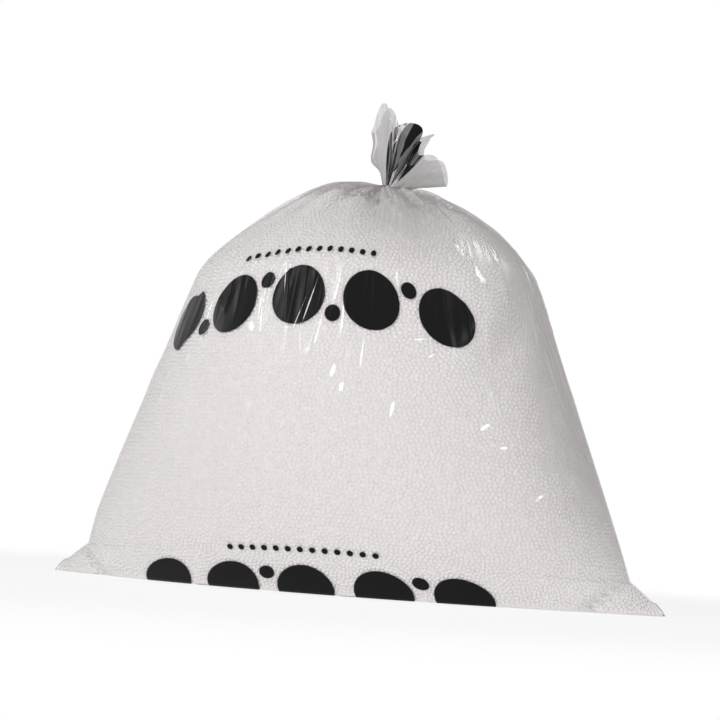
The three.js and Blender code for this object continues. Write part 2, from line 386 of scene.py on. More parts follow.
# Each set: how many, where across the film, how far below the neck, half lengths, tilt, widths and heights.
CREASE_SETS = [
    (26, (-0.20, 0.24), (0.10, 0.24), (0.030, 0.080), 0.10, (0.0018, 0.0030), (0.0010, 0.0018)),
    (22, (-0.26, 0.26), (0.16, 0.40), (0.008, 0.020), 0.45, (0.0018, 0.0034), (0.0008, 0.0015)),
    (60, (0.26, 1.02), (0.08, 0.34), (0.015, 0.080), 0.20, (0.0014, 0.0030), (0.0006, 0.0014)),
]
crease_height = sum(creases(*crease_set) for crease_set in CREASE_SETS)
print("highest crease", round(float(crease_height.max()) * 1000, 2), "mm")

# %% [markdown]
# ## Film that stands off the beads, and painted shade along the right-hand side
# Beside the neck the heap has sunk a little, and along the right-hand side the film hangs clear of the
# beads. There it shows a milky skin and hardly any beads; along the right-hand side the grey of that skin
# is also painted shade, darker and smoother than the beads. One number for each point says how far the
# film is clear of them, with that painted shade, and the film's finish reads it later. Loose film has no
# pattern, so its slack and the crumpled free end are sums of random waves.

# %% The hollow beside the neck
HOLLOW_DEPTH = 0.014
HOLLOW_SIDE = 0.050
HOLLOW_FRONT = 0.055
HOLLOW_SPREAD = 0.045


def hollow(points):
    """How far the beads lie below the loose film beside the neck."""
    away = np.hypot(points[..., 0] - HOLLOW_SIDE, points[..., 1] + HOLLOW_FRONT)
    return HOLLOW_DEPTH * swell(away, 0, HOLLOW_SPREAD) * smooth(points[..., 2], SHOULDER_HEIGHT, LOOSE_LEVEL)


print("hollow beside the neck:", round(1000 * HOLLOW_DEPTH), "mm deep")


# %% Slack and crumple
def waves(count, shortest, longest, across, along, sharp):
    """A sum of random plane waves, from -1 to 1. Sharp waves have creased crests, as crumpled film has."""
    total = np.zeros_like(below_choke)
    for _ in range(count):
        pitch = random.uniform(shortest, longest)
        heading, phase = random.uniform(0, 2 * math.pi, 2)
        turned = (across * math.cos(heading) + along * math.sin(heading)) / pitch * 2 * math.pi + phase
        total += 1 - 2 * np.abs(np.sin(turned / 2)) if sharp else np.sin(turned)
    return total / count


SLACK_HEIGHT = 0.003
SLACK_RISE = (0.22, 0.34)
CRUMPLE_HEIGHT = 0.0025
CRUMPLE_SPREAD = 1.3 * FOLDED_SPREAD
SHARP_CREASE = 0.0005
LOOSE_RISE = (0.27, 0.37)
HEAP_EDGE = 0.006
CONE_SIDE = 0.085  # the loose film below the neck, in film coordinates
CONE_SPREAD = 0.080
CONE_RISE = (0.42, 0.51)
# Along the right-hand side the milky grey skin is also painted shade, darker and smoother than the beads.
SIDE_PLACE = 0.29  # the loose film along the right-hand side
SIDE_SPREAD = 0.080
SIDE_RISE = (0.14, 0.30)
SIDE_SHADE_SHARE = 0.85
slack_share = smooth(film_height, *SLACK_RISE) * (below_choke > 0)
slack = SLACK_HEIGHT * slack_share * (1 + waves(9, 0.05, 0.13, girth_place, below_choke, False)) / 2
# Soft dents and swellings: across the film, from the weld, half length and width, heading, and height.
DENTS = [
    (0.199, 0.382, 0.070, 0.020, 45, -0.005),
    (0.174, 0.407, 0.060, 0.016, 45, 0.003),
]


def dent(across, along, half_length, half_breadth, heading, height):
    turned = math.radians(heading)
    right, up = girth_place - across, from_weld - along
    run = (right * math.cos(turned) + up * math.sin(turned)) / half_length
    over = (up * math.cos(turned) - right * math.sin(turned)) / half_breadth
    return height * np.exp(-(run**2) - over**2)


slack += sum(dent(*shape) for shape in DENTS)
free_reach = np.clip(-below_choke / MIDDLE_LENGTH, 0, 1)
crumple_waves = waves(4, 0.05, 0.09, plain[..., 0], film_height + plain[..., 1], True)
crumple = CRUMPLE_HEIGHT * free_reach * crumple_waves
crumple *= swell(np.cos(turns), FOLDED_MIDDLE, CRUMPLE_SPREAD)
sharp = np.clip(crease_height / SHARP_CREASE, 0, 1)
loose = np.maximum(np.maximum(sharp, smooth(film_height, *LOOSE_RISE)), below_choke < 0)
cone = swell(girth_place, CONE_SIDE, CONE_SPREAD) * smooth(from_weld, *CONE_RISE)
# The right-hand band gives the film a milky skin whose grey also paints the shade on that side.
side_skin_and_shade = SIDE_SHADE_SHARE * swell(girth_place, SIDE_PLACE, SIDE_SPREAD) * smooth(from_weld, *SIDE_RISE)
over_heap = smooth(film_height, BEAD_LEVEL - HEAP_EDGE, BEAD_LEVEL + HEAP_EDGE)
clear_of_beads_and_side_shade = np.max([cone, side_skin_and_shade, over_heap, smooth(hollow(plain), 0, HOLLOW_DEPTH)], axis=0)
print("clear of the beads:", round(float((clear_of_beads_and_side_shade > 0.5).mean()), 3), "of the film's points")


# %% [markdown]
# ## The film
# The folds move each point of the grid along its normal. The mesh is one open skin of quads that shares
# its points along the weld, which is how such a bag is made. Two UV maps carry the film coordinates: one
# in metres for the print, and one from 0 to 1 for textures.

# %% Mesh helpers
SAME_PLACE = 1e-6
LEAST_LENGTH = 1e-12


def grid_normals(points):
    around = np.roll(points, -1, axis=1) - np.roll(points, 1, axis=1)
    up = np.gradient(points, axis=0)
    normals = np.cross(around, up)
    return normals / np.maximum(np.linalg.norm(normals, axis=-1, keepdims=True), LEAST_LENGTH)


def mesh_object(name, points, faces):
    """A mesh from an array of points and an array of faces that all have as many corners."""
    points = np.asarray(points, np.float32).reshape(-1, 3)
    faces = np.asarray(faces, np.int32)
    mesh = bpy.data.meshes.new(name)
    mesh.vertices.add(len(points))
    mesh.vertices.foreach_set("co", points.ravel())
    mesh.loops.add(faces.size)
    mesh.loops.foreach_set("vertex_index", faces.ravel())
    mesh.polygons.add(len(faces))
    mesh.polygons.foreach_set("loop_start", np.arange(0, faces.size, faces.shape[1], dtype=np.int32))
    mesh.polygons.foreach_set("use_smooth", np.ones(len(faces), bool))
    mesh.update(calc_edges=True)
    mesh.validate()
    piece = bpy.data.objects.new(name, mesh)
    bpy.context.scene.collection.objects.link(piece)
    return piece


def join_points(piece):
    """Merges points that lie in the same place, such as the two panels' points along the weld."""
    shape = bmesh.new()
    shape.from_mesh(piece.data)
    bmesh.ops.remove_doubles(shape, verts=shape.verts, dist=SAME_PLACE)
    shape.to_mesh(piece.data)
    shape.free()


def lay_out(piece, name, corners):
    layer = piece.data.uv_layers.new(name=name)
    layer.uv.foreach_set("vector", np.asarray(corners, np.float32).ravel())


def mark(piece, name, values):
    """A number for each point, which a material can read."""
    layer = piece.data.attributes.new(name, "FLOAT", "POINT")
    layer.data.foreach_set("value", np.asarray(values, np.float32).ravel())


def dress(piece, slot, *nodes):
    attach(piece, "root")
    if nodes:
        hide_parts(*nodes)


def band_faces(rows, columns):
    row, column = np.meshgrid(np.arange(rows - 1), np.arange(columns), indexing="ij")
    after = (column + 1) % columns
    lower, upper = row * columns, (row + 1) * columns
    faces = np.stack([lower + column, lower + after, upper + after, upper + column], -1)
    return faces.reshape(-1, 4), row.ravel(), column.ravel()


# %% The film piece
plain_normals = grid_normals(plain)
gathered = gathers() * smooth(film_height, *GATHER_FADE)
folds = gathered + crease_height + slack
folds[: FOOT_ROW + 1] = 0
film_points = plain + plain_normals * (folds + crumple)[..., None]
film_faces, face_row, face_column = band_faces(*film_points.shape[:2])
film = mesh_object("film", film_points, film_faces)

on_front = face_column < FRONT_COLUMNS
panel_column = np.where(on_front, face_column, face_column - FRONT_COLUMNS)


def corner_place(row, column):
    front = front_across[row, np.minimum(column, FRONT_COLUMNS)]
    across = np.where(on_front, front, back_across[row, np.minimum(column, BACK_COLUMNS)])
    along = from_weld[row, (face_column - panel_column + column) % COLUMNS]
    return across, along


corners = [corner_place(face_row + up, panel_column + side) for up, side in ((0, 0), (0, 1), (1, 1), (1, 0))]
across = np.stack([corner[0] for corner in corners], -1)
along = np.stack([corner[1] for corner in corners], -1)
BACK_PANEL_SHIFT = 1.0  # keeps the back panel clear of the front panel's print
lay_out(film, "film", np.stack([across + np.where(on_front, 0, BACK_PANEL_SHIFT)[:, None], along], -1))
panel_share = (across / WELD_HALF + 1) / 4 + np.where(on_front, 0, 0.5)[:, None]
lay_out(film, "OFBake", np.stack([panel_share, along / from_weld.max()], -1))
mark(film, "loose", loose)
mark(film, "clear of beads and side shade", clear_of_beads_and_side_shade)
join_points(film)
dress(film, "film", "film_bag")
print("film:", len(film.data.polygons), "quads")

# %% [markdown]
# ## The beads
# A bag of this size holds around half a million beads, but only the outermost layer is ever seen. So one
# smooth core stands for the mass, and a layer of separate beads is set on it, close packed as loose beads
# settle: rows that are offset by half a pitch, each bead with its own size and a little scatter. The
# layer is split into four pieces so that no mesh is too heavy.

# %% The bead surface
BEAD_PITCH = 0.0048
FILM_GAP = 0.0005
FOLD_FILL = 0.9  # the beads fill most of a fold
CROWN_ROWS = 24
bead_top = SHOULDER_ROW + int(np.searchsorted(plain[SHOULDER_ROW:CHOKE_ROW, 0, 2], BEAD_LEVEL))
filled_folds = gathered * FOLD_FILL
bead_rows = (plain + plain_normals * (slack + filled_folds - FILM_GAP)[..., None])[FOOT_ROW : bead_top + 1]
crown_share = (1 + np.arange(CROWN_ROWS)[:, None]) / CROWN_ROWS
crown_rows = mix(bead_rows[-1:], np.array([DOME_SIDE, 0, 0]), crown_share[..., None])
crown_rows[..., 2] = bead_rows[-1, :, 2] + BEAD_CROWN * (1 - (1 - crown_share) ** 2)
bead_surface = np.concatenate([bead_rows, crown_rows])
bead_surface[..., 2] -= hollow(bead_surface)
bead_normals = grid_normals(bead_surface)
bead_normals[-1] = (0, 0, 1)
print("bead surface", bead_surface.shape)


# %% Bead places
SETTLING_ROUNDS = 7
SETTLING_PUSH = 0.35
SETTLED_PITCH = 1.06 * BEAD_PITCH
RING_SCATTER = 0.3  # of a pitch, along a ring
ROW_SCATTER = 0.24  # of a pitch, which breaks up the rings
BEAD_SIZE = 0.55  # a bead's radius, as a share of the pitch
BEAD_SIZE_SPREAD = 0.025
BEAD_SIZE_LIMITS = (0.48, 0.62)
LEAST_BEAD = 0.25


def even_rows(points, pitch):
    """Row numbers, with fractions, that lie a pitch apart along the surface."""
    height = np.concatenate([[0], np.cumsum(steps_between(points, 0).mean(axis=1))])
    return np.interp(np.arange(pitch / 2, height[-1], pitch), height, np.arange(len(height)))


def first_places(points, pitch):
    """Places in rings, each a pitch apart and a little scattered."""
    places = []
    for row in even_rows(points, pitch * math.sqrt(3) / 2):
        low = min(int(row), len(points) - 2)
        ring = mix(points[low], points[low + 1], row - low)
        closed = np.concatenate([ring, ring[:1]])
        along = np.concatenate([[0], np.cumsum(steps_between(closed, 0))])
        count = max(1, round(along[-1] / pitch))
        numbers = np.arange(count) + random.uniform(-RING_SCATTER, RING_SCATTER, count) + random.uniform()
        wanted = numbers % count * along[-1] / count
        places.append(np.stack([np.interp(wanted, along, closed[:, axis]) for axis in range(3)], -1))
    places = np.concatenate(places)
    return places + random.normal(0, ROW_SCATTER * pitch, places.shape)


def settled(places, surface, pitch):
    """Beads that overlap push each other apart along the surface, as they do when the bag is shaken."""
    for _ in range(SETTLING_ROUNDS):
        tree = KDTree(len(places))
        for number, place in enumerate(places):
            tree.insert(place, number)
        tree.balance()
        push = np.zeros_like(places)
        for number, place in enumerate(places):
            for other, other_number, gap in tree.find_range(place, pitch):
                if other_number != number and gap > 0:
                    push[number] += (place - np.array(other)) * (pitch - gap) / gap
        nearest = [surface.find_nearest(place) for place in places + SETTLING_PUSH * push]
        places = np.array([hit[0] for hit in nearest])
    return places, np.array([hit[1] for hit in nearest])


surface_faces = band_faces(*bead_surface.shape[:2])[0]
surface_tree = BVHTree.FromPolygons(bead_surface.reshape(-1, 3).tolist(), surface_faces.tolist())
bead_place, bead_out = settled(first_places(bead_surface, BEAD_PITCH), surface_tree, SETTLED_PITCH)
bead_size = random.normal(BEAD_SIZE, BEAD_SIZE_SPREAD, len(bead_place))
bead_radius = bead_size.clip(*BEAD_SIZE_LIMITS) * BEAD_PITCH
bead_centre = bead_place - bead_out * bead_radius[:, None]
bead_centre[:, 2] = np.maximum(bead_centre[:, 2], bead_radius + FILM_GAP)
film_tree = BVHTree.FromPolygons(film_points.reshape(-1, 3).tolist(), film_faces.tolist())
film_hits = [film_tree.find_nearest(centre) for centre in bead_centre]
film_depth = np.array([(hit[0] - Vector(centre)).dot(hit[1]) for hit, centre in zip(film_hits, bead_centre)])
bead_radius = np.minimum(bead_radius, film_depth)
kept = bead_radius > LEAST_BEAD * BEAD_PITCH
bead_place, bead_out = bead_place[kept], bead_out[kept]
bead_centre, bead_radius = bead_centre[kept], bead_radius[kept]
print("beads in the outer layer:", len(bead_place), "and left out at the thin edges:", int((~kept).sum()))

# %% The shape of one bead
BEAD_SIDES = 6
BEAD_LATITUDES = (40, -15)  # degrees above the bead's own equator, for its two rings of points
STEEP = 0.9  # an outward direction that is nearly upright


def bead_template():
    points = [(0, 0, 1)]
    for ring, latitude in enumerate(BEAD_LATITUDES):
        angle = math.radians(latitude)
        for side in range(BEAD_SIDES):
            turn = 2 * math.pi * (side + ring / 2) / BEAD_SIDES
            girth = math.cos(angle)
            points.append((math.cos(turn) * girth, math.sin(turn) * girth, math.sin(angle)))
    points.append((0, 0, -1))
    faces = []
    for side in range(BEAD_SIDES):
        after = (side + 1) % BEAD_SIDES
        upper, next_upper = 1 + side, 1 + after
        lower, next_lower = 1 + BEAD_SIDES + side, 1 + BEAD_SIDES + after
        faces += [(0, upper, next_upper), (upper, lower, next_upper)]
        faces += [(next_upper, lower, next_lower), (lower, len(points) - 1, next_lower)]
    return np.array(points), np.array(faces)


def across_axes(outward):
    """Two directions at right angles to each outward one."""
    helper = np.where(np.abs(outward[:, 2:]) < STEEP, [[0.0, 0.0, 1.0]], [[1.0, 0.0, 0.0]])
    first = np.cross(helper, outward)
    first /= np.linalg.norm(first, axis=1, keepdims=True)
    return first, np.cross(outward, first)


def beads_at(name, places, outward, radii):
    shape, faces = bead_template()
    first, second = across_axes(outward)
    spin = random.uniform(0, 2 * math.pi, len(places))[:, None]
    first, second = (
        first * np.cos(spin) + second * np.sin(spin),
        second * np.cos(spin) - first * np.sin(spin),
    )
    frames = np.stack([first, second, outward], axis=1)
    points = places[:, None] + radii[:, None, None] * np.einsum("pk,bkx->bpx", shape, frames)
    offsets = np.arange(len(places))[:, None, None] * len(shape)
    return mesh_object(name, points, (faces[None] + offsets).reshape(-1, 3))


print("one bead:", len(bead_template()[1]), "triangles")

# %% The outer layer of beads
QUARTERS = {"front_left": (-1, -1), "front_right": (1, -1), "back_left": (-1, 1), "back_right": (1, 1)}
bead_pieces = []
for quarter, (side, depth) in QUARTERS.items():
    chosen = ((bead_place[:, 0] > 0) == (side > 0)) & ((bead_place[:, 1] > 0) == (depth > 0))
    piece = beads_at(f"beads_{quarter}", bead_centre[chosen], bead_out[chosen], bead_radius[chosen])
    dress(piece, "beads")
    bead_pieces.append(piece)
    print(piece.name, len(piece.data.polygons), "triangles")

# %% The core behind them
CORE_DEPTH = 0.0022
CORE_STEP = 2  # takes every second column and row, which is fine enough behind the beads
core_rows = bead_surface - bead_normals * CORE_DEPTH
core_rows[0, :, 2] = FILM_GAP
core_base = core_rows[:1] * join(1, shares(2), 1)
core_rows = np.concatenate([core_base, core_rows[::CORE_STEP], core_rows[-1:]])[:, ::CORE_STEP]
core = mesh_object("bead_core", core_rows, band_faces(*core_rows.shape[:2])[0])
join_points(core)
dress(core, "beads", "bead_fill")
print("core:", len(core.data.polygons), "quads")

# %% [markdown]
# ## Stray beads
# Static keeps some beads on the film above the heap, where they show as dark and light specks under the
# neck. They sit on the inside of the film, so each one is placed on the folded grid and moved in by its
# own radius.

# %% Stray beads
STRAY_COUNT = 240
STRAY_TRIES = 20 * STRAY_COUNT
STRAY_REACH = (0.012, 0.125)  # below the choke
STRAY_SIZE = 0.38  # its radius, as a share of the pitch
STRAY_SIZE_SPREAD = 0.05
STRAY_SIZE_LIMITS = (0.25, 0.5)


def between(grid, row, column):
    """The grid's value at row and column numbers with fractions."""
    low_row = np.minimum(row.astype(int), len(grid) - 2)
    low_column = column.astype(int) % COLUMNS
    far_column = (low_column + 1) % COLUMNS
    up, side = (row - low_row)[:, None], (column - np.floor(column))[:, None]
    near = mix(grid[low_row, low_column], grid[low_row + 1, low_column], up)
    far = mix(grid[low_row, far_column], grid[low_row + 1, far_column], up)
    return mix(near, far, side)


film_normals = grid_normals(film_points)
fall = below_choke[::-1, FRONT_MIDDLE]
stray_rows = [len(plain) - 1 - np.interp(reach, fall, np.arange(len(fall))) for reach in STRAY_REACH[::-1]]
stray_row = random.uniform(*stray_rows, STRAY_TRIES)
stray_column = random.uniform(0, COLUMNS, STRAY_TRIES)
open_film = between(clear_of_beads_and_side_shade[..., None], stray_row, stray_column)[:, 0]
open_film = open_film * (stray_column < FRONT_COLUMNS)
wanted = np.nonzero(random.uniform(0, 1, STRAY_TRIES) < open_film)[0][:STRAY_COUNT]
stray_row, stray_column = stray_row[wanted], stray_column[wanted]
stray_size = random.normal(STRAY_SIZE, STRAY_SIZE_SPREAD, STRAY_COUNT)
stray_radius = stray_size.clip(*STRAY_SIZE_LIMITS) * BEAD_PITCH
stray_out = between(film_normals, stray_row, stray_column)
stray_out /= np.linalg.norm(stray_out, axis=1, keepdims=True)
stray_place = between(film_points, stray_row, stray_column) - stray_out * (stray_radius + FILM_GAP)[:, None]
strays = beads_at("stray_beads", stray_place, stray_out, stray_radius)
dress(strays, "beads")
print("stray beads:", STRAY_COUNT)

# %% [markdown]
# ## Shader maths as Python
# A finish is a small program of nodes. Writing it as expressions keeps it readable: a Wire holds one
# output of a node, and plus, minus, times and divided by on wires add the Math nodes. Every other node
# comes from Finish.node, which takes its type, its settings and the values or wires of its sockets.


# %% Wires and finishes
class Wire:
    """One output socket of a node, with arithmetic that adds Math nodes."""

    def __init__(self, finish, socket):
        self.finish = finish
        self.socket = socket

    def __add__(self, other):
        return self.finish.maths("ADD", self, other)

    def __radd__(self, other):
        return self.finish.maths("ADD", other, self)

    def __sub__(self, other):
        return self.finish.maths("SUBTRACT", self, other)

    def __rsub__(self, other):
        return self.finish.maths("SUBTRACT", other, self)

    def __mul__(self, other):
        return self.finish.maths("MULTIPLY", self, other)

    def __rmul__(self, other):
        return self.finish.maths("MULTIPLY", other, self)

    def __truediv__(self, other):
        return self.finish.maths("DIVIDE", self, other)

    def __rtruediv__(self, other):
        return self.finish.maths("DIVIDE", other, self)


class Finish:
    """The nodes of one material or world."""

    def __init__(self, owner):
        owner.use_nodes = True
        self.tree = owner.node_tree
        self.tree.nodes.clear()

    def node(self, kind, settings=None, inputs=None, output=0):
        made = self.tree.nodes.new(kind)
        for name, value in (settings or {}).items():
            setattr(made, name, value)
        for name, value in (inputs or {}).items():
            if isinstance(value, Wire):
                self.tree.links.new(value.socket, made.inputs[name])
            else:
                made.inputs[name].default_value = value
        return Wire(self, made.outputs[output])

    def maths(self, operation, *values):
        return self.node("ShaderNodeMath", {"operation": operation}, dict(enumerate(values)))

    def maximum(self, first, second):
        return self.maths("MAXIMUM", first, second)

    def blend(self, share, first, second):
        """A Mix Shader, from the first shader to the second."""
        return self.node("ShaderNodeMixShader", {}, {0: share, 1: first, 2: second})

    def end(self, surface, kind="ShaderNodeOutputMaterial"):
        self.tree.links.new(surface.socket, self.tree.nodes.new(kind).inputs["Surface"])


def ramp(finish, value, start, end, low=0.0, high=1.0):
    """A smooth change from low to high as the value goes from start to end."""
    return finish.node(
        "ShaderNodeMapRange",
        {"interpolation_type": "SMOOTHSTEP"},
        {"Value": value, 1: start, 2: end, 3: low, 4: high},
    )


def new_finish(name, *pieces):
    material = bpy.data.materials.new(name)
    for piece in pieces:
        piece.data.materials.append(material)
    return Finish(material)


# %% [markdown]
# ## The print
# The film is printed in black on the front, in rows that repeat up the tube: one row rolls under the
# foot, the next is gathered into the folds of the shoulder, and a third is crumpled in the free end. The
# print here is a plain design of round dots in three sizes.

# %% Dots in film coordinates
LARGE_DOT = 0.0285
LARGE_PITCH = 0.076
MIDDLE_DOT = 0.0080
MIDDLE_RISE = 0.017
SMALL_DOT = 0.0032
SMALL_PITCH = 0.0125
SMALL_RISE = 0.046
SMALL_REACH = 6.5 * SMALL_PITCH  # thirteen small dots
INK_EDGE = 0.0005
CHOKE_PLACE = float(from_weld[CHOKE_ROW, FRONT_MIDDLE])
FREE_PRINT = CHOKE_PLACE + 0.040
# Each row: its distance from the weld, its shift to the side, its stretch, and how many large dots wide.
PRINT_ROWS = [
    (0.112, -0.010, 0.93, 5),
    (0.403, -0.026, 1.08, 5),
    (FREE_PRINT - 0.006, -0.018, 0.8, 3),
    (FREE_PRINT + 0.014, -0.050, 0.9, 3),
]


def dots(finish, x, y, radius, pitch, shift, limit):
    """1 inside a row of dots, whose middles lie a pitch apart as far as the limit on each side."""
    cell = finish.maths("WRAP", x + shift, pitch / 2, -pitch / 2)
    distance = finish.maths("SQRT", cell * cell + y * y)
    ink = ramp(finish, distance, radius - INK_EDGE, radius + INK_EDGE, 1.0, 0.0)
    return ink * finish.maths("LESS_THAN", finish.maths("ABSOLUTE", x), limit)


def print_mask(finish, across, up):
    mask = 0.0
    for middle, shift, stretch, count in PRINT_ROWS:
        x, y = (across - shift) / stretch, up - middle
        limit = count * LARGE_PITCH / 2
        mask = finish.maximum(mask, dots(finish, x, y, LARGE_DOT, LARGE_PITCH, 0, limit))
        for rise, offset in ((MIDDLE_RISE, LARGE_PITCH / 2), (-MIDDLE_RISE, -LARGE_PITCH / 2)):
            row = dots(finish, x, y - rise, MIDDLE_DOT, 2 * LARGE_PITCH, offset, limit - LARGE_PITCH / 2)
            mask = finish.maximum(mask, row)
        small = dots(finish, x, y - SMALL_RISE, SMALL_DOT, SMALL_PITCH, 0, SMALL_REACH)
        mask = finish.maximum(mask, small)
    return mask


print("rows of print:", len(PRINT_ROWS))

# %% [markdown]
# ## The film's finish
# Clear film is seen by what it reflects. A Transparent shader lets the beads show, a Glossy one gives the
# sharp streaks along the folds, and Layer Weight mixes them, so that film seen edge on shines most. Its
# Facing output is the same on both sides of a sheet, which suits film: the Fresnel node would treat the
# inside as the inside of a solid. Film seen edge on is also hazier, and the grey of that haze is painted
# shade that darkens the rims. Film that is pressed on the beads is dimpled by them, so it is rougher than
# the loose film and the creases. The free end is crumpled and looks milky, so it has more haze, and that
# haze is a darker grey, which is painted shade.

# %% Film
FILM_SHINE = 0.035
EDGE_SHINE = 0.03
# The haze added edge on is partly painted shade: its grey darkens the rims.
EDGE_HAZE_AND_SHADE = 0.25  # film seen edge on is looked at through more of its thickness
FOLD_SHINE = 0.03  # a fold is two or three layers of film, so it mirrors more
INK_SHINE = 0.06  # where a tuck crosses the print
PRESSED_ROUGHNESS = 0.55
LOOSE_ROUGHNESS = 0.13
FILM_HAZE = 0.10
CLEAR_HAZE = 0.58
FREE_HAZE = 0.62
# The haze is a grey diffuse skin; at the rims and along the right-hand side its grey is painted shade.
HAZE_AND_SHADE_COLOUR = (0.67, 0.635, 0.635, 1)
# The free end's haze is a darker grey than the body's haze: painted shade in the crumpled free end.
FREE_SHADED_HAZE_COLOUR = (0.43, 0.406, 0.406, 1)
FREE_INK = (0.70, 1.0)  # the ink in the free end, from cracked and see-through to whole
SPECK_CELL = 0.0045
film_finish = new_finish("clear film", film)
film_place = film_finish.node("ShaderNodeUVMap", {"uv_map": "film"})
film_across = film_finish.node("ShaderNodeSeparateXYZ", {}, {0: film_place})
film_up = Wire(film_finish, film_across.socket.node.outputs[1])
ink = print_mask(film_finish, film_across, film_up)
looseness = film_finish.node("ShaderNodeAttribute", {"attribute_name": "loose"}, output="Fac")
# This attribute also carries the painted shade along the right-hand side.
standing_off_and_side_shade = film_finish.node("ShaderNodeAttribute", {"attribute_name": "clear of beads and side shade"}, output="Fac")
print("nodes of the print:", len(film_finish.tree.nodes))

# %% [markdown]
# ## Creases too fine for the mesh
# Handled film keeps hair-thin creases, and round the neck it is crinkled all over. Both are finer than the
# grid, so they are bump: noise that is stretched along the film and kept to the places where film is loose.

# %% Hair creases and crinkles
LINE_STRETCH = (26, 5, 1)  # cells in a metre, across the film and along it
PATCH_STRETCH = (9, 7, 1)
PATCH_EDGE = (0.48, 0.56)
CRINKLE_STRETCH = (70, 16, 1)
LINE_WIDTH = 0.030
LINE_HEIGHT = 0.0005
LINE_START, LINE_END = (0.27, 0.34), (0.52, 0.44)  # from the weld
CRINKLE_HEIGHT = 0.0018
CRINKLE_START = (0.34, 0.50)
CRINKLE_END = 0.02
TAUT_SIDE = (0.15, 0.24)  # across the film; the panel's right-hand edge is drawn smooth
TAUT_END = (0.5, 0.4)  # short of the back panel


def film_noise(stretch, detail, **settings):
    scaled = {"Vector": film_place, "Scale": stretch}
    spot = film_finish.node("ShaderNodeMapping", {"vector_type": "POINT"}, scaled)
    settings = {"noise_dimensions": "2D", **settings}
    return film_finish.node("ShaderNodeTexNoise", settings, {"Vector": spot, "Scale": 1.0, "Detail": detail})


line_noise = film_noise(LINE_STRETCH, 0.0)
off_line = film_finish.maths("ABSOLUTE", line_noise - 0.5)
patches = ramp(film_finish, film_noise(PATCH_STRETCH, 0.0), *PATCH_EDGE)
line_zone = ramp(film_finish, film_up, *LINE_START) * ramp(film_finish, film_up, *LINE_END)
hair_line = ramp(film_finish, off_line, LINE_WIDTH, 0.0) * patches * line_zone
crinkle = film_noise(CRINKLE_STRETCH, 2.0, noise_type="RIDGED_MULTIFRACTAL")
taut_side = ramp(film_finish, film_across, *TAUT_SIDE) * ramp(film_finish, film_across, *TAUT_END)
below_choke_zone = ramp(film_finish, film_up, CHOKE_PLACE + CRINKLE_END, CHOKE_PLACE)
crinkle_zone = ramp(film_finish, film_up, *CRINKLE_START) * below_choke_zone * (1 - taut_side)
print("fine creases on", film.name)

# %% [markdown]
# ## Strokes of light
# The brightest marks on clear film are small flat tucks that happen to mirror a lamp. Here their angle isn't
# left to chance. A tuck has to face halfway between the way to the camera and the way to a white card, and
# its slopes on the film follow from that. Each tuck is a bump with those slopes.

# %% Tucks that mirror a card
# Each tuck: across the film, from the weld, its half length and width, its heading in degrees, and its card.
TUCKS = [
    (-0.0775, 0.3763, 0.010, 0.0050, 130, "far left card"),
    (0.0192, 0.3317, 0.009, 0.0035, 75, "left card"),
    (0.0290, 0.3176, 0.007, 0.0030, 80, "left card"),
    (0.0776, 0.3024, 0.012, 0.0022, 76, "left card"),
    (0.1082, 0.3755, 0.010, 0.0014, 15, "right card"),
    (0.1181, 0.3616, 0.008, 0.0016, 40, "right card"),
    (0.1668, 0.3031, 0.011, 0.0026, 38, "right card"),
    (0.1826, 0.2855, 0.007, 0.0018, 25, "right card"),
    (0.2120, 0.2459, 0.009, 0.0026, 32, "right card"),
    (0.1674, 0.4802, 0.016, 0.0055, 125, "high card"),
    (0.1850, 0.4650, 0.022, 0.0065, 120, "high card"),
    (-0.0120, 0.3950, 0.036, 0.0011, 74, "left card"),
    (-0.0220, 0.3850, 0.028, 0.0010, 71, "left card"),
    (0.0020, 0.3720, 0.030, 0.0012, 78, "left card"),
    (-0.0450, 0.4200, 0.018, 0.0011, 98, "left card"),
    (0.0480, 0.3500, 0.024, 0.0012, 84, "left card"),
]
# Each card: its place, width, height and power in watts.
CARDS = {
    "left card": (Vector((-1.2, -1.9, 1.1)), 0.30, 0.90, 11),
    "far left card": (Vector((-1.97, -0.45, 0.65)), 0.35, 0.50, 4),
    "right card": (Vector((2.0, -0.9, 1.1)), 0.45, 0.50, 6),
    "high card": (Vector((1.12, 0.95, 1.70)), 0.60, 0.60, 7),
}
TUCK_WOBBLE = 0.55
WOBBLE_STRETCH = (260, 90, 1)
TUCK_EDGE = (1.0, 0.5)
film_base_normals = grid_normals(plain + plain_normals * slack[..., None])


def mirror_slopes(across, along, card):
    """The slopes, across and along the film, at which film at a place mirrors a card to the camera."""
    front = slice(0, FRONT_COLUMNS)
    near = np.hypot(front_across[:, front] - across, from_weld[:, front] - along)
    row, column = np.unravel_index(np.argmin(near), near.shape)
    place, normal = plain[row, column], film_base_normals[row, column]
    to_right = plain[row, column + 1] - plain[row, column - 1]
    to_right = to_right - normal * to_right.dot(normal)
    to_right /= np.linalg.norm(to_right)
    upward = np.cross(normal, to_right)
    to_camera = (camera.location - Vector(place)).normalized()
    to_card = (card - Vector(place)).normalized()
    halfway = np.array((to_camera + to_card).normalized())
    return -halfway.dot(to_right) / halfway.dot(normal), -halfway.dot(upward) / halfway.dot(normal)


